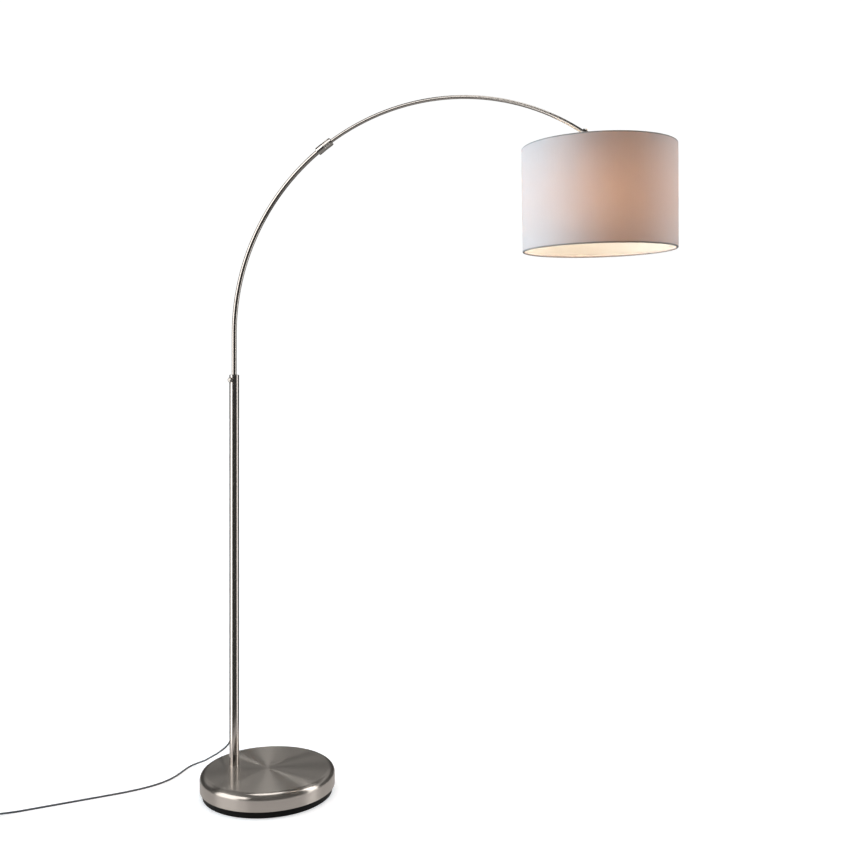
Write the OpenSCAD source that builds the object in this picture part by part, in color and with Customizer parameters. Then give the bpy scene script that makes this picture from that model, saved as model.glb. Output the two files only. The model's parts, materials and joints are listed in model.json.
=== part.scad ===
// Arc floor lamp: weighted round base, straight pole, telescoping bow, drum shade.
// Millimetres, +Z up. The origin is the centre of the base on the floor. The bow
// lies in the XZ plane and reaches towards +X.

/* [Base] */
// Outside diameter of the base cover
base_d = 360; // [350:1:370]
// Height of the base
base_h = 65; // [62:0.5:70]
// Radius of the cover's rounded top edge
base_round = 18; // [14:0.5:20]
// Height of the black band under the cover
band_h = 19.5; // [18:0.5:21]

/* [Pole] */
// Distance from the base's centre to the pole's axis
pole_off = 100; // [96:1:104]
// Outside diameter of the pole
pole_d = 26; // [26:0.5:27]
// Height of the pole's top edge
pole_top = 1128; // [1080:1:1140]
// Direction that the clamp screw points, about the pole
clamp_az = 268; // [240:1:300]

/* [Bow] */
// Radius of the bow's centreline
arc_r = 597; // [590:1:610]
// Height at which the bow starts to curve
arc_z = 1239.5; // [1230:0.5:1260]
// Angle along the bow at which the lower tube ends
joint_a = 55.8; // [50:0.2:60]
// Angle along the bow at which the upper tube's hidden end lies
inner_end_a = 37; // [36:0.5:40]
// Roll of the lamp head about the end of the bow
head_roll = 4.7; // [0:0.1:8]

/* [Shade] */
// Outside diameter of the drum shade
shade_d = 381; // [360:1:400]
// Height of the drum shade
shade_h = 254; // [230:1:280]

/* [Hidden] */
$fn = 64;
running = 0.05;
free_gap = 0.3;
collar_gap = 0.8;

// Base
base_r = base_d / 2;
cover_t = 1.5;
band_r = base_r - 7;
ledge_h = 2.5;
pad_t = 1.5;
tray_t = 2.5;
stud_r = 5;
nut_pocket_r = 24;
nut_pocket_z = 22;

// Pole and clamp screw
pole_x = -pole_off;
pole_r = pole_d / 2;
pole_in = pole_r - 1.5;
clamp_z = pole_top - 14;
clamp_screw_r = 2.5;
boss_r = 4.5;
boss_end = pole_r + 4;
clamp_head_r = 7;
clamp_head_h = 6;

// Lead's exit at the foot of the pole
exit_az = 140;
exit_z = 131;
exit_drop = 40;
relief_len = 24;

// Bow
cx = pole_x + arc_r;
lower_r = 6.5;
lower_in = 5.4;
upper_r = 4.8;
upper_in = 4;
stem_low = 820;
seam_step = 0.01;
seam_lap_a = 0.2;
glide_len = 24;
sleeve_r = 11;
sleeve_len = 21;
collar_len = 24;
deg_per_mm = 180 / (PI * arc_r);

// Lamp head. The pivot is where the bow's centreline meets the shade's axis
pivot_a = 130.6;
pivot = [cx - arc_r * cos(pivot_a), 0, arc_z + arc_r * sin(pivot_a)];
tube_dir = [sin(pivot_a), 0, cos(pivot_a)];
tube_end_a = pivot_a - 2.1;
socket_a = pivot_a - 3.4;
socket_r = 8;
knuckle_r = 8;
tongue_t = 6;
cheek_t = 3;
pin_r = 2;

// Shade, from the pivot down
shade_r = shade_d / 2;
shade_top = -10;
shade_low = shade_top - shade_h;
fabric_t = 0.8;
liner_t = 0.6;
wire_r = 1.5;
ring_mid_r = shade_r - fabric_t - liner_t - wire_r - 0.3;
flange_z = -51;
spider_t = 1.5;
holder_r = 19.5;

// Lead outside the lamp
cord_r = 2.5;
cord_sides = 8;
coil_mid_r = 28;
coil_half_w = 7.5;
coil_low = 1;
coil_h = 10;
coil_at = [-710, -377];
cord_entry_z = 5.5;
switch_at = [-612, -333];
switch_az = 222;
switch_len = 72;
switch_w = 30;
plug_at = [-713, -335];
plug_az = 42;
plug_z = 7.5;

// Centreline from the relief's tip to the foot switch
main_route = [
  [-124, 20.2, 115.6], [-133, 27.7, 105.8], [-146, 37.5, 93.5], [-160, 48, 82],
  [-175, 59, 70.5], [-190, 70, 59.5], [-205, 81, 49.5], [-220, 92.5, 39.5],
  [-235, 104, 29.5], [-248, 113, 21], [-262, 119.5, 13.5], [-275, 120, 8],
  [-285, 114, 4.5], [-291, 103, 2.8], [-293, 88, 2.5], [-293, 66, 2.5],
  [-293, 42, 2.5], [-295, 17, 2.5], [-301, -10, 2.5], [-314, -40, 2.5],
  [-336, -73, 2.5], [-367, -108, 2.5], [-404, -143, 2.5], [-446, -181, 2.5],
  [-489, -220, 2.5], [-532, -259, 2.5], [-566, -290.6, 2.8], [-590, -312.8, 4.5],
  [-604, -325.7, 5.4], [-612, -333, 5.5]
];
// Centreline from the foot switch to the coil
switch_route = [
  [-665.5, -381.2, 5.5], [-675, -389.8, 4.6], [-685, -398.5, 3.8],
  [-695, -405.5, 3.5]
];
// Centreline from the coil to the plug
plug_route = [
  [-736, -352, 8.5], [-729, -348, 8.3], [-721, -341.8, 7.8], [-713, -335, 7.5]
];

// ---- Shared shapes ----

// Half profile of a disc with a rounded top edge
module puck_profile(r, h, round_r) {
  square([r - round_r, h]);
  square([r, h - round_r]);
  translate([r - round_r, h - round_r]) circle(round_r);
}

module ring(r_out, r_in, h) {
  difference() {
    cylinder(r = r_out, h = h);
    translate([0, 0, -1]) cylinder(r = r_in, h = h + 2);
  }
}

// Grip ring: a cylinder with flutes round its side
module fluted(r, h, flutes, flute_r) {
  difference() {
    cylinder(r = r, h = h);
    for (k = [0:flutes - 1])
      rotate(k * 360 / flutes)
        translate([r + flute_r * 0.5, 0, -1]) cylinder(r = flute_r, h = h + 2, $fn = 24);
  }
}

module at_pole(z) {
  translate([pole_x, 0, z]) children();
}

// Sweep of a round section along the bow, from angle a0 to a1
module bow_sweep(r, a0, a1) {
  translate([cx, 0, arc_z]) rotate([90, 0, 0]) rotate(180 - a1)
    rotate_extrude(angle = a1 - a0) translate([arc_r, 0]) circle(r);
}

// Local +Z runs along the bow at angle a, and local -X points outwards
module on_bow(a) {
  translate([cx - arc_r * cos(a), 0, arc_z + arc_r * sin(a)])
    rotate([0, a, 0]) children();
}

// Local frame at the head's pivot, rolled about the end of the bow
module at_head() {
  translate(pivot) rotate(a = head_roll, v = tube_dir) children();
}

module roll_head() {
  at_head() translate(-pivot) children();
}

// Local +Z points away from the pole, level with the clamp screw
module at_clamp() {
  at_pole(clamp_z) rotate([0, 0, clamp_az]) rotate([0, 90, 0]) children();
}

// Local +Z runs out of the pole along the lead's exit, from the pole's surface
module at_exit() {
  at_pole(exit_z) rotate([0, 0, exit_az]) translate([pole_r, 0, 0])
    rotate([0, 90 + exit_drop, 0]) children();
}

// Tube swept along a route, each ring square to the bend's middle direction
function unit(v) = v / norm(v);
function heading(p, i) =
  unit(p[min(i + 1, len(p) - 1)] - p[max(i - 1, 0)]);
function across(d) = unit(cross(d, [0, 0, 1]));
function ring_points(p, i, r, sides) =
  let (d = heading(p, i), u = across(d), w = cross(u, d))
  [for (k = [0:sides - 1])
    p[i] + r * (cos(360 * (k + 0.5) / sides) * u + sin(360 * (k + 0.5) / sides) * w)];

module cord_tube(p, r, sides) {
  points = [for (i = [0:len(p) - 1]) each ring_points(p, i, r, sides)];
  last = (len(p) - 1) * sides;
  skin = [for (i = [0:len(p) - 2], k = [0:sides - 1])
    let (a = i * sides + k, b = i * sides + (k + 1) % sides)
    each [[a, a + sides, b + sides], [a, b + sides, b]]];
  ends = [
    [for (k = [0:sides - 1]) k],
    [for (k = [sides - 1:-1:0]) last + k]
  ];
  polyhedron(points = points, faces = concat(skin, ends));
}

// Smooth route: each stretch of the hand-placed points is halved by a cubic
function midpoint(p, i) =
  (9 * (p[i] + p[i + 1]) - p[max(i - 1, 0)] - p[min(i + 2, len(p) - 1)]) / 16;
function smooth(p) =
  [for (i = [0:len(p) - 1]) each (i < len(p) - 1 ? [p[i], midpoint(p, i)] : [p[i]])];

// ---- Base ----

module base_cover() {
  color("#b9b4ae") translate([0, 0, band_h]) difference() {
    rotate_extrude($fn = 128) difference() {
      puck_profile(base_r, base_h - band_h, base_round);
      translate([0, -1])
        puck_profile(base_r - cover_t, base_h - band_h - cover_t + 1, base_round - cover_t);
    }
    translate([pole_x, 0, 20]) cylinder(r = stud_r + 0.4, h = base_h);
  }
}

module base_tray() {
  color("#161616") difference() {
    rotate_extrude($fn = 128) {
      translate([0, pad_t]) square([band_r, tray_t]);
      translate([band_r - 3, pad_t]) square([3, band_h - pad_t]);
      translate([band_r - 3, band_h]) square([base_r - cover_t - 0.3 - band_r + 3, ledge_h]);
    }
    translate([pole_x, 0, -1]) cylinder(r = nut_pocket_r + 2, h = 10);
  }
}

module base_weight() {
  color("#8d8a84") difference() {
    union() {
      translate([0, 0, pad_t + tray_t]) cylinder(r = band_r - 3.3, h = 20);
      translate([0, 0, band_h + ledge_h + 0.2]) rotate_extrude($fn = 128)
        puck_profile(base_r - cover_t - 0.5, base_h - cover_t - 0.1 - band_h - ledge_h - 0.2,
          base_round - cover_t);
    }
    translate([pole_x, 0, 0]) cylinder(r = nut_pocket_r, h = nut_pocket_z);
    translate([pole_x, 0, 0]) cylinder(r = stud_r + 1, h = base_h + 1);
  }
}

module base_pad() {
  color("#2a2a2a") difference() {
    cylinder(r = band_r - 8, h = pad_t);
    translate([pole_x, 0, -1]) cylinder(r = nut_pocket_r + 2, h = 5);
  }
}

module pole_foot_plug() {
  color("#9aa0a4") at_pole(base_h + 1) ring(pole_in - 0.05, stud_r + 0.03, 20);
}

module base_stud() {
  color("#9aa0a4") at_pole(10) ring(stud_r, 3.5, base_h + 9);
}

module base_washer() {
  color("#a8abad") at_pole(nut_pocket_z - 2) ring(18, stud_r + 0.3, 2);
}

module base_nut() {
  color("#a8abad") at_pole(nut_pocket_z - 10) difference() {
    cylinder(r = 17 / sqrt(3), h = 8, $fn = 6);
    translate([0, 0, -1]) cylinder(r = stud_r + 0.03, h = 10);
  }
}

// ---- Pole ----

module pole() {
  color("#a39c97") difference() {
    at_pole(base_h) ring(pole_r, pole_in, pole_top - base_h);
    at_clamp() translate([0, 0, 5]) cylinder(r = boss_r + 0.02, h = 20);
    at_exit() translate([0, 0, -6]) cylinder(r = 3.8, h = 20);
  }
}

module pole_top_bush() {
  color("#1f1f1f") difference() {
    at_pole(pole_top - 45) ring(pole_in - 0.05, lower_r + running, 45.8);
    at_clamp() cylinder(r = boss_r + 0.02, h = 30);
  }
}

module screw_boss() {
  color("#c9c6c2") difference() {
    at_clamp() translate([0, 0, pole_in - 2.5])
      ring(boss_r, clamp_screw_r + running, boss_end - pole_in + 2.5);
    at_pole(clamp_z - 10) cylinder(r = lower_r + 0.5, h = 20);
  }
}

module thumb_screw() {
  color("#cfccc8") at_clamp() {
    translate([0, 0, lower_r + free_gap]) cylinder(r = clamp_screw_r, h = boss_end - lower_r);
    translate([0, 0, boss_end + free_gap]) cylinder(r = 5, h = 2);
    translate([0, 0, boss_end + free_gap + 1.5]) fluted(clamp_head_r, clamp_head_h, 36, 0.5);
    translate([0, 0, boss_end + free_gap + 1.5 + clamp_head_h]) cylinder(r = 5, h = 1);
  }
}

// ---- Bow ----

module stem_glide() {
  color("#e8e6df") at_pole(stem_low + 2)
    ring(pole_in - running, lower_r + running, glide_len);
}

module lower_arc_tube() {
  color("#a7a19c") {
    at_pole(stem_low) ring(lower_r, lower_in, arc_z - stem_low);
    difference() {
      bow_sweep(lower_r - seam_step, -seam_lap_a, joint_a);
      bow_sweep(lower_in - seam_step, -1, joint_a + 1);
    }
  }
}

module coupling_sleeve() {
  color("#b5afaa") on_bow(joint_a - sleeve_len / 2 * deg_per_mm)
    translate([0, 0, -sleeve_len / 2]) difference() {
      union() {
        cylinder(r = sleeve_r - 0.8, h = sleeve_len);
        translate([0, 0, 1]) cylinder(r = sleeve_r, h = sleeve_len - 2);
      }
      translate([0, 0, -1]) cylinder(r = lower_r + 0.2, h = sleeve_len + 2);
    }
}

module collet_bush() {
  color("#ecebe6") difference() {
    on_bow(joint_a + (collar_len / 2) * deg_per_mm)
      translate([0, 0, 0.4 - collar_len / 2]) cylinder(r = 8, h = collar_len - 4);
    bow_sweep(upper_r + 0.1, joint_a - 2, joint_a + 5);
  }
}

module lock_collar() {
  color("#b5afaa") on_bow(joint_a + (collar_len / 2) * deg_per_mm)
    translate([0, 0, collar_gap - collar_len / 2]) difference() {
      union() {
        fluted(sleeve_r, collar_len - 4, 36, 0.4);
        cylinder(r = sleeve_r - 0.5, h = collar_len);
      }
      translate([0, 0, -1]) cylinder(r = 8.4, h = collar_len - 1.5);
      translate([0, 0, -1]) cylinder(r = upper_r + 0.6, h = collar_len + 2);
    }
}

module upper_arc_tube() {
  color("#a7a19c") difference() {
    bow_sweep(upper_r, inner_end_a, tube_end_a);
    bow_sweep(upper_in, inner_end_a - 1, tube_end_a + 1);
  }
}

module arc_glide() {
  color("#ecebe6") difference() {
    bow_sweep(lower_in - 0.1, inner_end_a - 0.6, inner_end_a);
    bow_sweep(3.4, inner_end_a - 2, inner_end_a + 1);
  }
}

// ---- Knuckle ----

module knuckle_socket() {
  color("#b5afaa") roll_head() difference() {
    union() {
      on_bow(socket_a) translate([0, 0, -16]) cylinder(r = socket_r, h = 34);
      on_bow(socket_a) translate([-4, -tongue_t / 2, 10]) cube([9, tongue_t, 22]);
      translate(pivot) rotate([90, 0, 0])
        cylinder(r = knuckle_r, h = tongue_t, center = true);
    }
    on_bow(socket_a) translate([0, 0, -17]) cylinder(r = upper_r + 0.6, h = 32);
    on_bow(socket_a) translate([-socket_r - 1, 0, -10]) rotate([0, 90, 0])
      cylinder(r = 2.03, h = 6);
    translate(pivot) rotate([90, 0, 0])
      cylinder(r = pin_r + running, h = 20, center = true);
  }
}

module socket_set_screw() {
  color("#cfccc8") roll_head() on_bow(socket_a) translate([0, 0, -10])
    rotate([0, -90, 0]) difference() {
      union() {
        translate([0, 0, upper_r + 0.7]) cylinder(r = 2, h = 3);
        translate([0, 0, socket_r + 0.05]) fluted(3, 3, 12, 0.5);
      }
      translate([-3.5, -0.4, socket_r + 2.2]) cube([7, 0.8, 2]);
    }
}

module cheek(side) {
  translate([0, side * (tongue_t / 2 + free_gap + 0.5 + cheek_t / 2), 0]) {
    rotate([90, 0, 0]) cylinder(r = knuckle_r, h = cheek_t, center = true);
    translate([-knuckle_r, -cheek_t / 2, -16]) cube([2 * knuckle_r, cheek_t, 16]);
  }
}

module knuckle_fork() {
  color("#b5afaa") at_head() difference() {
    union() {
      for (side = [-1, 1]) cheek(side);
      translate([-knuckle_r, -6.8, -16]) cube([2 * knuckle_r, 13.6, 7]);
      translate([0, 0, -26]) cylinder(r = 8, h = 11);
    }
    rotate([90, 0, 0]) cylinder(r = pin_r + 0.02, h = 30, center = true);
    translate([0, 0, -30]) cylinder(r = stud_r + 0.03, h = 18);
  }
}

module knuckle_pin() {
  color("#9aa0a4") at_head() rotate([90, 0, 0]) {
    translate([0, 0, -13]) cylinder(r = pin_r, h = 24);
    translate([0, 0, 6.9]) difference() {
      cylinder(r = 4, h = 2.4);
      translate([-5, -0.5, 1.4]) cube([10, 1, 2]);
    }
  }
}

module knuckle_washers() {
  color("#c9c6c2") at_head() for (side = [-1, 1])
    translate([0, side * (tongue_t / 2 + 0.5), 0]) rotate([90, 0, 0])
      translate([0, 0, -0.2]) ring(6, pin_r + running, 0.4);
}

module tilt_knob() {
  color("#cfccc8") at_head() rotate([-90, 0, 0]) translate([0, 0, 7.2]) difference() {
    union() {
      cylinder(r = 4.5, h = 2);
      translate([0, 0, 1.5]) fluted(7, 7, 16, 1.2);
    }
    translate([0, 0, -1]) cylinder(r = pin_r + running, h = 7.2);
  }
}

// ---- Lampholder and bulb ----

module holder_nipple() {
  color("#c8a552") at_head() translate([0, 0, -36]) ring(stud_r, 3.2, 23);
}

module holder_cap() {
  color("#202020") at_head() translate([0, 0, -42]) difference() {
    rotate_extrude() puck_profile(20, 15.5, 5);
    translate([0, 0, -1]) rotate_extrude() puck_profile(18, 14, 4);
    cylinder(r = stud_r + 0.03, h = 20);
  }
}

module holder_body() {
  color("#202020") at_head() difference() {
    union() {
      translate([0, 0, -90]) cylinder(r = holder_r, h = 48);
      translate([0, 0, flange_z]) cylinder(r = 24, h = 3);
    }
    translate([0, 0, -91]) cylinder(r = 16.3, h = 50);
    for (k = [0:5]) translate([0, 0, -80 + 3 * k])
      ring(holder_r + 1, holder_r - 0.7, 1.2);
  }
}

module holder_insert() {
  color("#efece4") at_head() translate([0, 0, -56]) difference() {
    cylinder(r = 16.1, h = 13);
    for (side = [-1, 1]) translate([side * 9, 0, 4]) cylinder(r = 2, h = 10);
  }
}

module contact_shell() {
  color("#c8a552") at_head() translate([0, 0, -84]) ring(14.4, 13.8, 28);
}

module centre_contact() {
  color("#c8a552") at_head() translate([-6, -2, -57.8]) cube([12, 4, 1.7]);
}

module bulb_cap() {
  color("#c3c6c8") at_head() difference() {
    translate([0, 0, -86]) cylinder(r = 13.3, h = 26);
    for (k = [0:4]) translate([0, 0, -82 + 4 * k]) ring(15, 12.5, 1.8);
  }
}

module bulb_contact() {
  color("#c8a552") at_head() translate([0, 0, -59.9]) cylinder(r = 4.5, h = 2);
}

module bulb_shape(grow) {
  translate([0, 0, -137]) sphere(r = 30 + grow);
  translate([0, 0, -121.5]) cylinder(r1 = 26.2 + grow, r2 = 13.4 + grow, h = 22.5);
  translate([0, 0, -99.01]) cylinder(r = 13.4 + grow, h = 12.91);
}

module bulb_glass() {
  color("#fff3d6") at_head() difference() {
    bulb_shape(0);
    bulb_shape(-1);
  }
}

// ---- Shade ----

module shade_ring_nut() {
  color("#202020") at_head() translate([0, 0, flange_z - spider_t - 9]) difference() {
    union() {
      cylinder(r = 23, h = 9);
      translate([0, 0, 6]) fluted(27, 3, 24, 1);
    }
    translate([0, 0, -1]) cylinder(r = holder_r + 0.1, h = 12);
  }
}

module spoke(turn) {
  start_r = 27;
  start_z = flange_z + 1.2;
  drop = shade_top - 2 - start_z;
  run = ring_mid_r - start_r;
  rotate(turn) translate([start_r, 0, start_z])
    rotate([0, 90 - atan2(drop, run), 0]) cylinder(r = wire_r, h = norm([drop, run]));
}

module shade_spider() {
  color("#e6e4df") at_head() {
    translate([0, 0, flange_z - spider_t]) ring(33, holder_r + 0.3, spider_t);
    for (turn = [60, 180, 300]) spoke(turn);
    translate([0, 0, shade_top - 2]) rotate_extrude($fn = 128)
      translate([ring_mid_r, 0]) circle(wire_r, $fn = 24);
  }
}

module shade_bottom_ring() {
  color("#e6e4df") at_head() translate([0, 0, shade_low + 2]) rotate_extrude($fn = 128)
    translate([ring_mid_r, 0]) circle(wire_r, $fn = 24);
}

module shade_fabric() {
  color("#d9cdc4") at_head() translate([0, 0, shade_low])
    ring(shade_r, shade_r - fabric_t, shade_h, $fn = 128);
}

module shade_liner() {
  color("#f4efe6") at_head() translate([0, 0, shade_low + 0.5])
    ring(shade_r - fabric_t - 0.1, shade_r - fabric_t - 0.1 - liner_t, shade_h - 1, $fn = 128);
}

// ---- Leads inside the lamp ----

module pole_lead() {
  color("#222222") at_pole(exit_z + 22) cylinder(r = cord_r, h = 520);
}

module stem_lead() {
  color("#222222") {
    at_pole(stem_low + 4) cylinder(r = 2.2, h = arc_z - stem_low - 4);
    bow_sweep(2.2 - seam_step, -seam_lap_a, 5);
  }
}

module bow_lead() {
  color("#222222") bow_sweep(2.2, inner_end_a - 0.4, tube_end_a - 0.1);
}

// ---- Lead outside the lamp ----

module cord_relief() {
  color("#1c1c1c") {
    at_exit() translate([0, 0, -4]) cylinder(r = 3.7, h = 9);
    difference() {
      at_exit() {
        translate([0, 0, -3]) cylinder(r = 5.2, h = 5.2);
        translate([0, 0, 2.2]) cylinder(r1 = 4.4, r2 = 3.1, h = relief_len - 2.2);
      }
      at_pole(exit_z - 40) cylinder(r = pole_r + 0.02, h = 80);
    }
  }
}

module power_cord() {
  color("#2b2b2b") cord_tube(smooth(main_route), cord_r, cord_sides);
}

module switch_lead() {
  color("#2b2b2b") cord_tube(smooth(switch_route), cord_r, cord_sides);
}

module plug_lead() {
  color("#2b2b2b") cord_tube(smooth(plug_route), cord_r, cord_sides);
}

module cord_coil() {
  color("#2b2b2b") translate([coil_at.x, coil_at.y, coil_low]) rotate_extrude()
    translate([coil_mid_r, 0]) {
      translate([-coil_half_w, cord_r]) square([2 * coil_half_w, coil_h - 2 * cord_r]);
      translate([cord_r - coil_half_w, 0]) square([2 * (coil_half_w - cord_r), coil_h]);
      for (side = [-1, 1], z = [cord_r, coil_h - cord_r])
        translate([side * (coil_half_w - cord_r), z]) circle(cord_r);
    }
}

module coil_tie() {
  color("#101010") translate([coil_at.x, coil_at.y, 0]) rotate(200)
    translate([coil_mid_r, 0, coil_h / 2 + coil_low]) difference() {
      cube([2 * coil_half_w + 3, 8, coil_h + 2], center = true);
      cube([2 * coil_half_w + 1, 10, coil_h + 0.1], center = true);
    }
}

module at_switch() {
  translate([switch_at.x, switch_at.y, 0]) rotate(switch_az) children();
}

// Plan of the foot switch: a bar with rounded corners and flat ends
module switch_plan(grow) {
  corner = 10;
  flat = switch_w / 2 - corner;
  for (x = [corner, switch_len - corner], side = [-1, 1])
    translate([x, side * flat]) circle(corner + grow);
  translate([-grow, -flat]) square([switch_len + 2 * grow, 2 * flat]);
  translate([corner, -switch_w / 2 - grow])
    square([switch_len - 2 * corner, switch_w + 2 * grow]);
}

module switch_base() {
  color("#181818") at_switch() difference() {
    linear_extrude(cord_entry_z) switch_plan(0);
    translate([0, 0, 2]) linear_extrude(cord_entry_z) switch_plan(-2);
    for (x = [10, switch_len - 10]) translate([x, 8, -1]) cylinder(r = 1.6, h = 4);
  }
}

module switch_cover() {
  color("#181818") at_switch() translate([0, 0, cord_entry_z]) difference() {
    union() {
      linear_extrude(8) switch_plan(0);
      translate([0, 0, 8]) linear_extrude(3) switch_plan(-2.5);
    }
    translate([0, 0, -1]) linear_extrude(7) switch_plan(-2);
    translate([switch_len / 2, 0, -1]) cylinder(r = 9.4, h = 14);
  }
}

module switch_button() {
  color("#303030") at_switch() translate([switch_len / 2, 0, cord_entry_z + 3.6])
    rotate_extrude() {
      puck_profile(9, 11, 2.5);
      square([12, 2]);
    }
}

module switch_screws() {
  color("#9aa0a4") at_switch() for (x = [10, switch_len - 10])
    translate([x, 8, 0.5]) cylinder(r = 1.5, h = 4);
}

module at_plug() {
  translate([plug_at.x, plug_at.y, plug_z]) rotate(plug_az) rotate([0, 90, 0]) children();
}

module plug_body() {
  color("#1c1c1c") at_plug() {
    cylinder(r1 = 3.4, r2 = 5, h = 14);
    translate([0, 0, 12]) intersection() {
      translate([-6.8, -13, 0]) cube([13.6, 26, 22]);
      cylinder(r1 = 9, r2 = 16, h = 22);
    }
  }
}

module plug_pins() {
  color("#c9c6c2") at_plug() for (side = [-1, 1])
    translate([0, side * 9.3, 34.1]) {
      cylinder(r = 1.9, h = 18);
      translate([0, 0, 18]) cylinder(r1 = 1.9, r2 = 1.1, h = 1);
    }
}

base_cover();
base_tray();
base_weight();
base_pad();
pole();
pole_foot_plug();
base_stud();
base_washer();
base_nut();
pole_top_bush();
screw_boss();
thumb_screw();
stem_glide();
lower_arc_tube();
coupling_sleeve();
lock_collar();
collet_bush();
upper_arc_tube();
arc_glide();
knuckle_socket();
socket_set_screw();
knuckle_fork();
knuckle_pin();
knuckle_washers();
tilt_knob();
holder_nipple();
holder_cap();
holder_body();
holder_insert();
contact_shell();
centre_contact();
shade_ring_nut();
shade_spider();
shade_bottom_ring();
shade_fabric();
shade_liner();
bulb_glass();
bulb_cap();
bulb_contact();
pole_lead();
stem_lead();
bow_lead();
cord_relief();
power_cord();
switch_lead();
cord_coil();
plug_lead();
coil_tie();
switch_base();
switch_cover();
switch_button();
switch_screws();
plug_body();
plug_pins();
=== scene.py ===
import json
import math

import bmesh
import bpy
from mathutils import Matrix, Vector


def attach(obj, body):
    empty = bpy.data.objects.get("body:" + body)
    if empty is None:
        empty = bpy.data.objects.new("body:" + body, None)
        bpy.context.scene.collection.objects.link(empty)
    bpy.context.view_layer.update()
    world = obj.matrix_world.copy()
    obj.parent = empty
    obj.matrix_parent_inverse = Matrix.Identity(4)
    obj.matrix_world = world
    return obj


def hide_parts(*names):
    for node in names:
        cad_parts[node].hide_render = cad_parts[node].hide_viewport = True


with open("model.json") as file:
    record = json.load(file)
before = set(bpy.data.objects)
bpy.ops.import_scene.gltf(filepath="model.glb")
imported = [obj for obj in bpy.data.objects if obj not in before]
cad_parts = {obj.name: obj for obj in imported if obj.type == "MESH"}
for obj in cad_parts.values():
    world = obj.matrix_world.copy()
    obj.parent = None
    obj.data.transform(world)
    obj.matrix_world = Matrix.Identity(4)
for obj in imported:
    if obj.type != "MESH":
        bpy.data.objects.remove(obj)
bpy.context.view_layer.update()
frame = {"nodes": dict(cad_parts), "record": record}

# ---- Sizes, in metres, with heights above the floor or from the shade's pivot ----

MM = 0.001
BASE_SHOULDER, BASE_FLAT = 63 * MM, 64.8 * MM
POLE_X = -100 * MM

BOW_R, BOW_X, BOW_Z = 597 * MM, 497 * MM, 1239.5 * MM
PIVOT_TURN = math.radians(130.6)
HEAD_ROLL = math.radians(4.7)

SHADE_R, SHADE_TOP, SHADE_LOW = 190.5 * MM, -10 * MM, -264 * MM
HEM = 3 * MM
HEM_ROLL = 2.6 * MM
THREAD_PITCH = 0.9 * MM
SEAM_TURN = math.radians(100)
SEAM_W, SEAM_LIFT, SEAM_T = 8 * MM, 0.1 * MM, 0.5 * MM
LINER_R = 189.3 * MM

SCREW_Z = 1114 * MM
SCREW_TURN = math.radians(268)

CORD_R = 2.5 * MM

# ---- Node helpers ----


class Tree:
    """A node tree that is built by short calls."""

    def __init__(self, tree):
        self.tree = tree
        self.tree.nodes.clear()

    def put(self, socket, value):
        """Link a socket to another node's output, or set its constant."""
        if isinstance(value, bpy.types.NodeSocket):
            self.tree.links.new(value, socket)
        else:
            socket.default_value = value

    def node(self, kind, *values, **settings):
        """A node with its first inputs filled in their order and its own settings, such as operation."""
        made = self.tree.nodes.new(kind)
        for name, value in settings.items():
            setattr(made, name, value)
        for socket, value in zip(made.inputs, values):
            self.put(socket, value)
        return made

    def named(self, kind, **values):
        """A node with inputs filled by name: Base_Color stands for the input Base Color."""
        made = self.tree.nodes.new(kind)
        for name, value in values.items():
            self.put(made.inputs[name.replace("_", " ")], value)
        return made

    def math(self, operation, *values):
        return self.node("ShaderNodeMath", *values, operation=operation).outputs[0]

    def plus(self, a, b):
        return self.math("ADD", a, b)

    def times(self, a, b):
        return self.math("MULTIPLY", a, b)

    def from_axis(self, x, y):
        """Distance from the Z axis."""
        return self.math("SQRT", self.plus(self.times(x, x), self.times(y, y)))

    def band(self, value, low, high, out_low=0.0, out_high=1.0):
        """A smooth step from one level at low to another at high."""
        inputs = (value, low, high, out_low, out_high)
        return self.node("ShaderNodeMapRange", *inputs, interpolation_type="SMOOTHSTEP").outputs[0]

    def noise(self, vector, scale, detail=2.0, rough=0.5):
        made = self.named("ShaderNodeTexNoise", Vector=vector, Scale=scale, Detail=detail, Roughness=rough)
        return made.outputs["Fac"]

    def blend(self, factor, a, b):
        """One colour fading into another."""
        made = self.node("ShaderNodeMix", data_type="RGBA")
        for place, value in ((0, factor), (6, a), (7, b)):
            self.put(made.inputs[place], value)
        return made.outputs[2]

    def bump(self, height, strength, distance):
        return self.named("ShaderNodeBump", Height=height, Strength=strength, Distance=distance).outputs[0]

    def place(self):
        return self.node("ShaderNodeTexCoord").outputs["Object"]

    def stretch(self, vector, scale):
        return self.named("ShaderNodeMapping", Vector=vector, Scale=scale).outputs[0]

    def dot(self, vector, fixed):
        return self.node("ShaderNodeVectorMath", vector, fixed, operation="DOT_PRODUCT").outputs["Value"]

    def split(self, vector):
        return self.node("ShaderNodeSeparateXYZ", vector).outputs

    def join(self, x, y, z):
        return self.node("ShaderNodeCombineXYZ", x, y, z).outputs[0]

    def principled(self, **values):
        return self.named("ShaderNodeBsdfPrincipled", **values)

    def mix(self, factor, one, two):
        return self.node("ShaderNodeMixShader", factor, one.outputs[0], two.outputs[0])

    def surface(self, shader, kind="ShaderNodeOutputMaterial"):
        self.node(kind, shader.outputs[0])


def material(name):
    made = bpy.data.materials.new(name)
    made.use_nodes = True
    return made, Tree(made.node_tree)


def rgb(r, g, b):
    return (r, g, b, 1.0)


# ---- Materials ----


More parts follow.
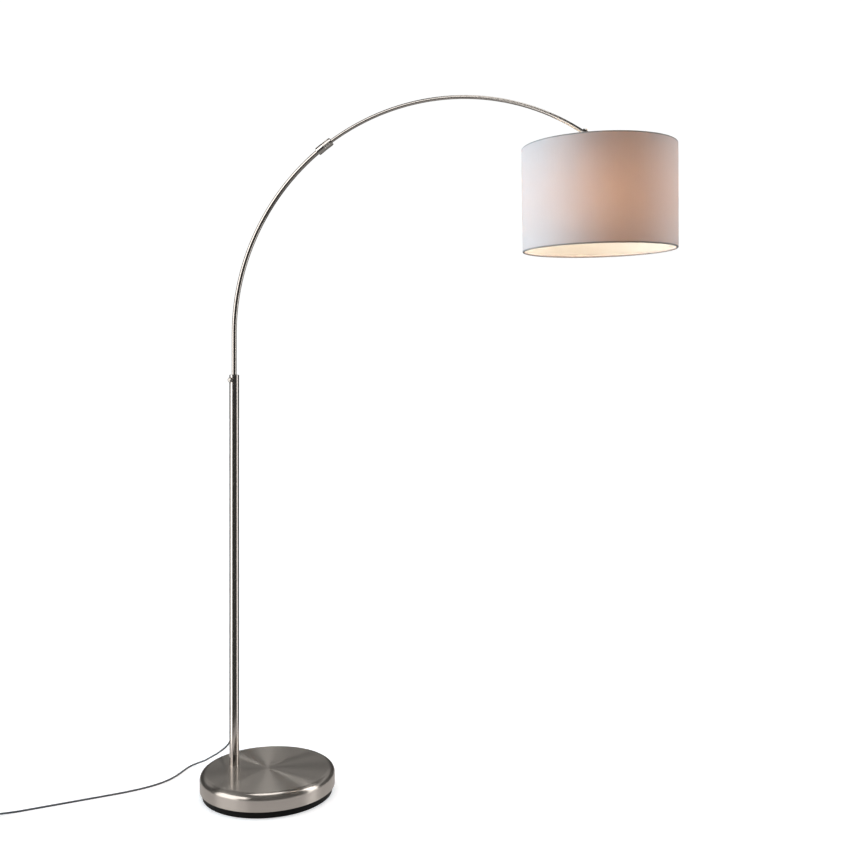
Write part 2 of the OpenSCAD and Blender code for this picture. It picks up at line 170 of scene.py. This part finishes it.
def spun_nickel():
    """Round cover spun on a lathe: grooves run round its axis, so light fans out in rays."""
    made, t = material("spun_nickel")
    x, y, z = t.split(t.place())
    along = t.plus(t.from_axis(x, y), z)
    turn = t.math("ARCTAN2", y, x)
    lines = t.noise(t.join(t.times(along, 2600.0), t.times(turn, 1.4), 0.0), 1.0, 4.0, 0.65)
    broad = t.noise(t.join(t.times(along, 160.0), t.times(turn, 0.8), 3.0), 1.0, 3.0)
    grain = t.plus(t.times(lines, 0.7), t.times(broad, 0.3))
    colour = t.blend(grain, rgb(0.52, 0.485, 0.45), rgb(0.68, 0.645, 0.61))
    polish = t.principled(
        Base_Color=colour,
        Metallic=1.0,
        Roughness=t.band(grain, 0.2, 0.8, 0.13, 0.19),
        Normal=t.bump(lines, 0.03, 0.0001),
    )
    grooves = t.principled(
        Base_Color=colour,
        Metallic=1.0,
        Roughness=t.band(grain, 0.2, 0.8, 0.38, 0.46),
        Anisotropic=1.0,
        Anisotropic_Rotation=0.25,
        Tangent=t.node("ShaderNodeTangent", direction_type="RADIAL", axis="Z").outputs[0],
        Normal=t.bump(lines, 0.05, 0.0001),
    )
    grooved = t.band(z, BASE_SHOULDER, BASE_FLAT, 0.42, 0.62)
    t.surface(t.mix(grooved, polish, grooves))
    return made


def nickel(name, colour, rough, brush):
    """Plated metal with faint grain along its length and slight wear in its gloss."""
    made, t = material(name)
    place = t.place()
    grain = t.noise(t.stretch(place, brush), 1.0, 4.0, 0.6)
    wear = t.band(t.noise(place, 26.0, 3.0), 0.3, 0.7, -0.015, 0.015)
    dark = [c * 0.9 for c in colour]
    t.surface(t.principled(
        Base_Color=t.blend(grain, rgb(*dark), rgb(*colour)),
        Metallic=1.0,
        Roughness=t.plus(t.band(grain, 0.25, 0.75, rough * 0.8, rough * 1.2), wear),
        Normal=t.bump(grain, 0.015, 0.00005),
    ))
    return made


def plastic(name, colour, rough, grain_scale=900.0, depth=0.0002, coat=0.0, shine=0.5):
    """Moulded plastic with a fine spark-eroded grain."""
    made, t = material(name)
    place = t.place()
    grain = t.noise(place, grain_scale, 3.0, 0.6)
    light = [min(1.0, c * 1.25 + 0.004) for c in colour]
    t.surface(t.principled(
        Base_Color=t.blend(t.noise(place, 18.0, 2.0), rgb(*colour), rgb(*light)),
        Roughness=t.band(grain, 0.2, 0.8, rough * 0.85, min(1.0, rough * 1.15)),
        Coat_Weight=coat,
        Specular_IOR_Level=shine,
        Normal=t.bump(grain, 0.25, depth),
    ))
    return made


def cement():
    """Cast cement with fine grit and round air pits."""
    made, t = material("cast_cement")
    place = t.place()
    grit = t.noise(place, 240.0, 5.0, 0.65)
    cells = t.named("ShaderNodeTexVoronoi", Vector=place, Scale=130.0).outputs["Distance"]
    height = t.plus(grit, t.band(cells, 0.0, 0.3, -0.6, 0.0))
    t.surface(t.principled(
        Base_Color=t.blend(grit, rgb(0.33, 0.32, 0.30), rgb(0.56, 0.55, 0.52)),
        Roughness=0.92,
        Normal=t.bump(height, 0.5, 0.001),
    ))
    return made


def weave(t, turn, z):
    """Height of a plain weave wrapped round the shade's axis."""
    threads = round(math.tau * SHADE_R / THREAD_PITCH)
    phase = 0.785
    u = t.times(turn, threads / 2)
    v = t.times(z, math.pi / THREAD_PITCH)
    warp = t.math("ABSOLUTE", t.math("SINE", u))
    weft = t.math("ABSOLUTE", t.math("SINE", v))
    over = t.times(t.math("SINE", t.plus(u, phase)), t.math("SINE", v))
    return t.plus(t.times(t.plus(warp, weft), 0.35), t.times(over, 0.3))


def shade_cloth_material(centre, axis, low):
    """Off-white cloth that lets the bulb's warm light through, save where it is folded over the rings, where
    its colour is a painted shade of dark warm brown.
    """
    made, t = material("shade_cloth")
    place = t.place()
    x, y, z = t.split(place)
    turn = t.math("ARCTAN2", t.math("SUBTRACT", y, centre.y), t.math("SUBTRACT", x, centre.x))
    normal = t.bump(weave(t, turn, z), 0.25, 0.0004)
    slub = t.noise(t.join(t.times(turn, 120.0), t.times(z, 9.0), 0.0), 1.0, 4.0, 0.6)
    tone = t.plus(t.times(slub, 0.6), t.times(t.noise(place, 7.0, 2.0), 0.4))

    along = t.dot(place, axis)
    high = low + SHADE_TOP - SHADE_LOW
    fold, fade = 2.5 * MM, 2 * MM
    above_fold = t.band(along, low + fold, low + fold + fade)
    below_fold = t.band(along, high - fold - fade, high - fold, 1.0, 0.0)
    single = t.times(above_fold, below_fold)

    cloth_tone = t.blend(tone, rgb(0.80, 0.785, 0.78), rgb(0.88, 0.87, 0.865))
    # Painted shade: over the folds at the rings the face's colour turns dark warm brown, standing in for the
    # shade where the bulb's light doesn't come through
    face = t.principled(
        Base_Color=t.blend(single, rgb(0.48, 0.38, 0.33), cloth_tone),
        Roughness=0.9,
        Specular_IOR_Level=0.15,
        Sheen_Weight=0.15,
        Sheen_Roughness=0.5,
        Normal=normal,
    )
    warm = t.blend(tone, rgb(0.94, 0.525, 0.33), rgb(1.0, 0.56, 0.355))
    through = t.named("ShaderNodeBsdfTranslucent", Color=warm)
    blur = t.named("ShaderNodeBsdfRefraction", Color=rgb(1.0, 0.72, 0.50), Roughness=1.0, IOR=2.0)
    passed = t.plus(t.times(single, 0.28), 0.03)
    t.surface(t.mix(passed, face, t.mix(0.12, through, blur)))
    return made


def liner_material():
    """Thin milky styrene: white where light falls on it, half clear to the bulb's own light."""
    made, t = material("styrene_liner")
    cloud = t.noise(t.place(), 30.0, 2.0)
    face = t.principled(
        Base_Color=t.blend(cloud, rgb(0.88, 0.86, 0.81), rgb(0.93, 0.915, 0.87)),
        Roughness=0.35,
    )
    clear = t.named("ShaderNodeBsdfTransparent", Color=rgb(1.0, 0.93, 0.83))
    t.surface(t.mix(0.5, face, clear))
    return made


def bulb_material():
    """Frosted glass of a lit bulb."""
    made, t = material("lit_frosted_glass")
    cloud = t.noise(t.place(), 60.0, 2.0)
    t.surface(t.principled(
        Base_Color=rgb(1.0, 0.95, 0.86),
        Roughness=0.5,
        Emission_Color=t.blend(cloud, rgb(1.0, 0.85, 0.71), rgb(1.0, 0.89, 0.75)),
        Emission_Strength=42.0,
    ))
    return made


def cord_material():
    """Grey PVC of the mains lead."""
    made, t = material("grey_flex")
    place = t.place()
    grain = t.noise(place, 700.0, 3.0)
    t.surface(t.principled(
        Base_Color=t.blend(t.noise(place, 14.0, 2.0), rgb(0.10, 0.10, 0.105), rgb(0.15, 0.15, 0.155)),
        Roughness=t.band(grain, 0.2, 0.8, 0.34, 0.46),
        Normal=t.bump(grain, 0.15, 0.0002),
    ))
    return made


# ---- Mesh helpers ----


def show(name, data, mat):
    """An object of the scene with one material."""
    made = bpy.data.objects.new(name, data)
    bpy.context.scene.collection.objects.link(made)
    data.materials.append(mat)
    return made


def mesh_piece(name, bm, mat, body):
    """A smooth piece that rides on a body."""
    data = bpy.data.meshes.new(name)
    bm.normal_update()
    bm.to_mesh(data)
    bm.free()
    for face in data.polygons:
        face.use_smooth = True
    piece = show(name, data, mat)
    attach(piece, body)
    return piece


def arc(centre, radius, first, last, steps):
    """Points of an arc, both ends included, in a profile's (radius, height) plane."""
    r, z = centre
    angles = [first + (last - first) * j / steps for j in range(steps + 1)]
    return [(r + radius * math.cos(a), z + radius * math.sin(a)) for a in angles]


def lathe(profile, steps, place, first=0.0, last=math.tau, close=False):
    """Mesh of a profile of (radius, height) points turned about the local Z axis."""
    bm = bmesh.new()
    whole = abs(last - first - math.tau) < 1e-9
    columns = []
    for k in range(steps if whole else steps + 1):
        a = first + (last - first) * k / steps
        points = [place @ Vector((r * math.cos(a), r * math.sin(a), z)) for r, z in profile]
        columns.append([bm.verts.new(point) for point in points])
    if whole:
        columns.append(columns[0])
    for one, two in zip(columns, columns[1:]):
        for j in range(len(profile) if close else len(profile) - 1):
            k = (j + 1) % len(profile)
            bm.faces.new((one[j], two[j], two[k], one[k]))
    return bm


# ---- Lampshade, turned about the axis of the rolled head ----

pivot = Vector((BOW_X - BOW_R * math.cos(PIVOT_TURN), 0, BOW_Z + BOW_R * math.sin(PIVOT_TURN)))
tube_dir = Vector((math.sin(PIVOT_TURN), 0, math.cos(PIVOT_TURN)))
head = Matrix.Translation(pivot) @ Matrix.Rotation(HEAD_ROLL, 4, tube_dir)
shade_axis = head.to_3x3() @ Vector((0, 0, 1))


def shade_profile():
    """Cloth's section: hem inside the lower ring, outer face, hem inside the upper ring."""
    middle, inside = SHADE_R - HEM_ROLL, SHADE_R - 2 * HEM_ROLL
    low, high = SHADE_LOW + HEM_ROLL, SHADE_TOP - HEM_ROLL
    hem_steps, face_steps, roll_steps = 3, 24, 8
    points = [(inside, low + HEM * (1 - j / hem_steps)) for j in range(hem_steps)]
    points += arc((middle, low), HEM_ROLL, math.pi, math.tau, roll_steps)
    points += [(SHADE_R, low + (high - low) * j / face_steps) for j in range(1, face_steps)]
    points += arc((middle, high), HEM_ROLL, 0, math.pi, roll_steps)
    points += [(inside, high - HEM * j / hem_steps) for j in range(1, hem_steps + 1)]
    return points


def seam_profile():
    """Section of the seam's tape, up its inner face and down its outer one."""
    start, length, steps = SHADE_LOW + 2 * MM, 250 * MM, 16
    points = [(SHADE_R + SEAM_LIFT, start + length * j / steps) for j in range(steps + 1)]
    return points + [(r + SEAM_T, z) for r, z in reversed(points)]


def liner_profile():
    """Plain band that stops short of both rings."""
    start, length, steps = SHADE_LOW + 4 * MM, 246 * MM, 12
    return [(LINER_R, start + length * j / steps) for j in range(steps + 1)]


cloth_mat = shade_cloth_material(pivot, shade_axis, pivot.dot(shade_axis) + SHADE_LOW)
cloth = mesh_piece("shade_cloth", lathe(shade_profile(), 288, head), cloth_mat, "lamp_head")
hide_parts("shade_fabric")

seam_mesh = lathe(seam_profile(), 8, head, SEAM_TURN, SEAM_TURN + SEAM_W / SHADE_R, close=True)
seam = mesh_piece("shade_seam", seam_mesh, cloth_mat, "lamp_head")

liner_mesh = lathe(liner_profile(), 192, head)
liner = mesh_piece("styrene_liner", liner_mesh, liner_material(), "lamp_head")
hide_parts("shade_liner")

# ---- Thumb screw ----


def screw_profile():
    """Rod, collar and head, in millimetres from the pole's axis; its end is crowned."""
    tip, collar, rim, end = 6.9, 17.3, 18.8, 25.8
    rod_r, collar_r, head_r = 2.5, 5, 7
    # A second point this close keeps an edge crisp under smooth shading
    crisp = 0.1
    points = [
        (0, tip), (rod_r, tip), (rod_r, collar), (rod_r + crisp, collar),
        (collar_r, collar), (collar_r, collar + crisp), (collar_r, rim), (collar_r + crisp, rim),
        (head_r - 0.6, rim), (head_r - 0.1, rim + 0.4), (head_r, rim + 1),
        (head_r, end - 2.6), (head_r - 0.3, end - 1.8),
    ]
    return points + [(6, end - 1.2), (4.8, end - 0.7), (3.4, end - 0.3), (1.8, end - 0.1), (0, end)]


def thumb_screw():
    """Turned screw with a fluted rim, pointing at the pole's axis."""
    flutes, flute_depth, smooth_r = 36, 0.035, 6.3 * MM
    bm = lathe([(r * MM, z * MM) for r, z in screw_profile()], 4 * flutes, Matrix())
    bmesh.ops.remove_doubles(bm, verts=bm.verts, dist=1e-7)
    for vert in bm.verts:
        x, y = vert.co.xy
        if math.hypot(x, y) > smooth_r:
            flute = 0.5 + 0.5 * math.cos(flutes * math.atan2(y, x))
            vert.co.xy *= 1 - flute_depth * flute
    outward = Matrix.Rotation(SCREW_TURN, 4, "Z") @ Matrix.Rotation(math.pi / 2, 4, "Y")
    bm.transform(Matrix.Translation((POLE_X, 0, SCREW_Z)) @ outward)
    return bm


screw_nickel = nickel("screw_nickel", (0.44, 0.42, 0.4), 0.27, (700, 700, 90))
screw = mesh_piece("clamp_thumb_screw", thumb_screw(), screw_nickel, "clamp_screw")
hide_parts("thumb_screw")

# ---- Mains lead, its route in millimetres ----

main_route = [
    (-124, 20.2, 115.6), (-133, 27.7, 105.8), (-146, 37.5, 93.5), (-160, 48, 82),
    (-175, 59, 70.5), (-190, 70, 59.5), (-205, 81, 49.5), (-220, 92.5, 39.5),
    (-235, 104, 29.5), (-248, 113, 21), (-262, 119.5, 13.5), (-275, 120, 8),
    (-285, 114, 4.5), (-291, 103, 2.8), (-293, 88, 2.5), (-293, 66, 2.5),
    (-293, 42, 2.5), (-295, 17, 2.5), (-301, -10, 2.5), (-314, -40, 2.5),
    (-336, -73, 2.5), (-367, -108, 2.5), (-404, -143, 2.5), (-446, -181, 2.5),
    (-489, -220, 2.5), (-532, -259, 2.5), (-566, -290.6, 2.8), (-590, -312.8, 4.5),
    (-604, -325.7, 5.4), (-612, -333, 5.5),
]
# Inside the foot switch the jacket is stripped, so the lead is thinner and clears the pressed button
stripped = [(-627, -346.4, 4.4), (-638.8, -357.1, 4.4), (-650.6, -367.8, 4.4)]
stripped_share = 0.75
switch_route = [(-665.5, -381.2, 5.5), (-676, -390.8, 4.4)]
plug_route = [(-729, -348, 8.3), (-721, -341.8, 7.8), (-713, -335, 7.5)]


def coil_route():
    """Two layers of turns: wound inwards on the floor, then outwards on top."""
    x, y = -710, -377
    outer, inner = 33, 23
    floor_layer, top_layer = 3.5, 8.5
    start, turns, steps = math.radians(-47.5), 4.5, 54
    # The lead winds inwards for two turns, climbs for half a turn and winds outwards for two
    climb_from, climb_to = 2, 2.5
    route = []
    for k in range(steps + 1):
        turned = turns * k / steps
        if turned < climb_from:
            r, z = outer - (outer - inner) * turned / climb_from, floor_layer
        elif turned < climb_to:
            f = (turned - climb_from) / (climb_to - climb_from)
            r, z = inner, floor_layer + (top_layer - floor_layer) * f * f * (3 - 2 * f)
        else:
            r, z = inner + (outer - inner) * (turned - climb_to) / (turns - climb_to), top_layer
        a = start - math.tau * turned
        route.append((x + r * math.cos(a), y + r * math.sin(a), z))
    return route


def cord_curve(points):
    """A round cord through the points."""
    curve = bpy.data.curves.new("mains_lead", "CURVE")
    curve.dimensions = "3D"
    curve.bevel_depth = CORD_R
    curve.bevel_resolution = 4
    curve.resolution_u = 6
    curve.use_fill_caps = True
    spline = curve.splines.new("BEZIER")
    spline.bezier_points.add(len(points) - 1)
    for target, point in zip(spline.bezier_points, points):
        target.co = Vector(point) * MM
        target.handle_left_type = "AUTO"
        target.handle_right_type = "AUTO"
        target.radius = stripped_share if point in stripped else 1.0
    return curve


cord_points = main_route + stripped + switch_route + coil_route() + plug_route
flex = cord_material()
lead = show("mains_lead", cord_curve(cord_points), flex)
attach(lead, "stand")
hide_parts("power_cord", "switch_lead", "cord_coil", "plug_lead")

# ---- Finishes of the CAD nodes, by slot ----

FINISHES = {
    "brushed_nickel": spun_nickel(),
    "satin_nickel": nickel("satin_nickel", (0.66, 0.62, 0.59), 0.17, (1400, 1400, 30)),
    "polished_nickel": nickel("bright_nickel", (0.74, 0.71, 0.68), 0.14, (900, 900, 40)),
    "steel_hardware": nickel("zinc_plate", (0.62, 0.63, 0.65), 0.32, (500, 500, 500)),
    "brass": nickel("drawn_brass", (0.80, 0.62, 0.29), 0.22, (700, 700, 60)),
    "bulb_cap": nickel("rolled_alloy", (0.78, 0.79, 0.80), 0.26, (600, 600, 80)),
    "black_plastic": plastic("black_plastic", (0.003, 0.003, 0.0032), 0.5, shine=0.12),
    "black_gloss": plastic("black_gloss", (0.012, 0.012, 0.014), 0.16, 500.0, 0.00005, 0.4),
    "plug_plastic": plastic("plug_plastic", (0.016, 0.016, 0.017), 0.42),
    "relief_rubber": plastic("relief_rubber", (0.03, 0.03, 0.032), 0.55),
    "nylon": plastic("natural_nylon", (0.78, 0.77, 0.70), 0.35, 400.0),
    "foam_rubber": plastic("foam_rubber", (0.03, 0.03, 0.03), 0.85, 1500.0, 0.0006),
    "porcelain": plastic("glazed_porcelain", (0.84, 0.82, 0.76), 0.12, 200.0, 0.0001, 0.5),
    "white_wire": plastic("white_enamel", (0.78, 0.77, 0.74), 0.28, 300.0, 0.0001, 0.3),
    "cement": cement(),
    "bulb_glass": bulb_material(),
    "cord_pvc": flex,
}
for part in frame["record"]["subparts"]:
    finish = FINISHES.get(part["material_slot"])
    if finish:
        node = frame["nodes"][part["node"]]
        node.data.materials.clear()
        node.data.materials.append(finish)

# ---- Floor ----


def floor_material():
    """Pale to the camera; to other rays it glows near the base, and further off it isn't there."""
    made, t = material("pale_floor")
    x, y = t.split(t.place())[:2]
    near = t.named("ShaderNodeEmission", Color=rgb(1.0, 0.95, 0.92), Strength=0.62)
    beyond = t.node("ShaderNodeBsdfTransparent")
    unseen = t.mix(t.band(t.from_axis(x, y), 0.36, 0.55), near, beyond)
    pale = t.named("ShaderNodeBsdfDiffuse", Color=rgb(0.86, 0.8, 0.78))
    lift = t.named("ShaderNodeEmission", Color=rgb(1.0, 1.0, 1.0), Strength=0.58)
    seen = t.node("ShaderNodeAddShader", pale.outputs[0], lift.outputs[0])
    eye = t.node("ShaderNodeLightPath").outputs["Is Camera Ray"]
    t.surface(t.mix(eye, unseen, seen))
    return made


reach = 60.0
corners = [(-reach, -reach, 0), (reach, -reach, 0), (reach, reach, 0), (-reach, reach, 0)]
floor_mesh = bpy.data.meshes.new("floor")
floor_mesh.from_pydata(corners, [], [(0, 1, 2, 3)])
floor = show("floor", floor_mesh, floor_material())

# ---- Studio light: metal mirrors one set of panels, and cloth and floor are lit by another ----

world = bpy.data.worlds.new("studio")
bpy.context.scene.world = world
world.use_nodes = True
world.cycles.sampling_method = "NONE"
w = Tree(world.node_tree)
sky_x, sky_y, height = w.split(w.node("ShaderNodeTexCoord").outputs["Generated"])
azimuth = w.math("ARCTAN2", sky_y, sky_x)


def softbox(centre, half, soft, low, high, edge):
    """A bright panel: azimuth centre and half width in degrees, height range as the sine of its elevation."""
    away = w.math("WRAP", w.math("SUBTRACT", azimuth, math.radians(centre)), math.pi, -math.pi)
    across = w.band(w.math("ABSOLUTE", away), math.radians(half), math.radians(half + soft), 1.0, 0.0)
    bottom = w.band(height, low, low + edge)
    top = w.band(height, high - edge, high, 1.0, 0.0)
    return w.times(across, w.times(bottom, top))


def add(total, value, level):
    return w.plus(total, w.times(value, level))


# What the metal mirrors: dark in front, with bright panels on the left and right and one overhead
mirror = 0.05
for level, panel in [
    (2.4, softbox(-137, 17, 8, -0.6, 0.16, 0.08)),
    (2.4, softbox(-128, 24, 8, 0.08, 0.64, 0.08)),
    (1.9, softbox(14, 7, 7, -0.6, 0.22, 0.1)),
    (4.0, softbox(16, 6, 6, 0.12, 0.8, 0.1)),
    (0.34, softbox(100, 62, 22, 0.26, 0.7, 0.16)),
    (2.6, w.band(height, 0.955, 0.975)),
    (0.22, w.band(height, -0.75, -0.5, 1.0, 0.0)),
]:
    mirror = add(mirror, panel, level)

# What falls on cloth and floor: two cool panels low on the left and right, one neutral overhead
panels = add(0.0, softbox(-166, 16, 14, -0.62, 0.62, 0.14), 5.15)
panels = add(panels, softbox(22, 16, 14, -0.62, 0.62, 0.14), 2.5)
overhead = add(0.035, w.band(height, 0.84, 0.9), 2.0)
rays = w.node("ShaderNodeLightPath").outputs
glossy = rays["Is Glossy Ray"]
other = w.math("SUBTRACT", 1.0, glossy)


def channel(metal, cool):
    """One colour channel of the room, its panels tinted apart from its metal's mirror image."""
    seen_in_metal = w.times(w.times(mirror, glossy), metal)
    return add(seen_in_metal, other, w.plus(overhead, w.times(panels, cool)))


room = w.join(channel(1.0, 0.55), channel(0.975, 0.82), channel(0.94, 1.0))
lit = w.named("ShaderNodeBackground", Color=room)
white = w.named("ShaderNodeBackground", Color=rgb(1.0, 1.0, 1.0), Strength=1.02)
w.surface(w.mix(rays["Is Camera Ray"], lit, white), "ShaderNodeOutputWorld")

# ---- Camera ----

lens = bpy.data.cameras.new("camera")
lens.lens = 40.12
lens.sensor_width = 36
lens.shift_y = -0.0332
lens.clip_end = 200
camera = bpy.data.objects.new("camera", lens)
bpy.context.scene.collection.objects.link(camera)
camera.location = (1.1049, -2.4039, 1.0494)
camera.rotation_euler = (math.radians(90), 0, math.radians(15))
bpy.context.scene.camera = camera
bpy.context.scene.view_settings.view_transform = "Standard"
bpy.context.scene.view_settings.look = "None"
